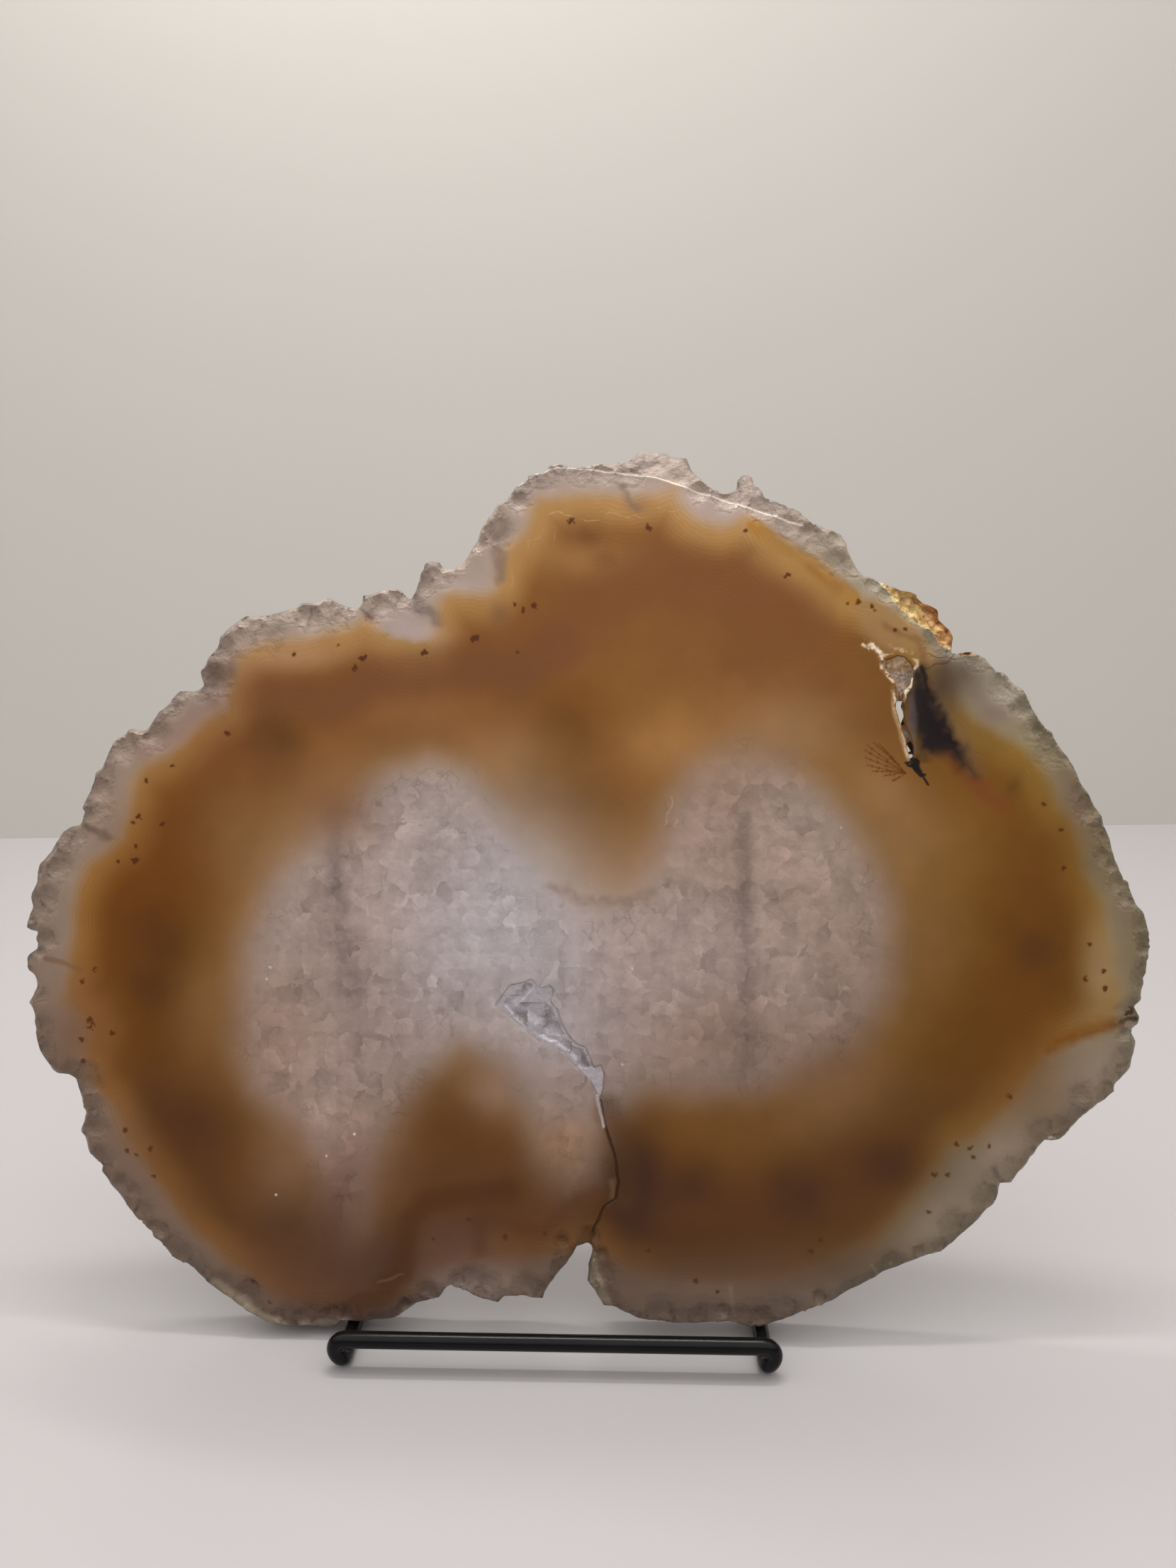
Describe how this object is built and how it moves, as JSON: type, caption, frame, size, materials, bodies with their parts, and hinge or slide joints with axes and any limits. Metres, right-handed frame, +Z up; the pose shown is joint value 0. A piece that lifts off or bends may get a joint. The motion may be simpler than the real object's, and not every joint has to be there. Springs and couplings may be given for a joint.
{
  "type": "agate slice on wire stand",
  "caption": "Polished agate slice with amber bands round a pale quartz centre, leaning back on a bent wire stand that holds it up for display.",
  "frame": {"origin": "middle of the footprint of the whole object, at the level that its stand rests on", "axes": "+X to the right across the polished face, +Y away from the viewer through the slice, +Z up"},
  "size_m": [0.2334, 0.0568, 0.1822],
  "materials": {
    "agate": "polished faces, rough glassy rind",
    "quartz": "sparkling crystal faces",
    "wire": "smooth glossy black coating"
  },
  "bodies": {
    "root": {"agate_slice": "agate", "pocket_druse": "quartz", "vug_druse": "quartz", "stand_wire": "wire"}
  },
  "joints": []
}
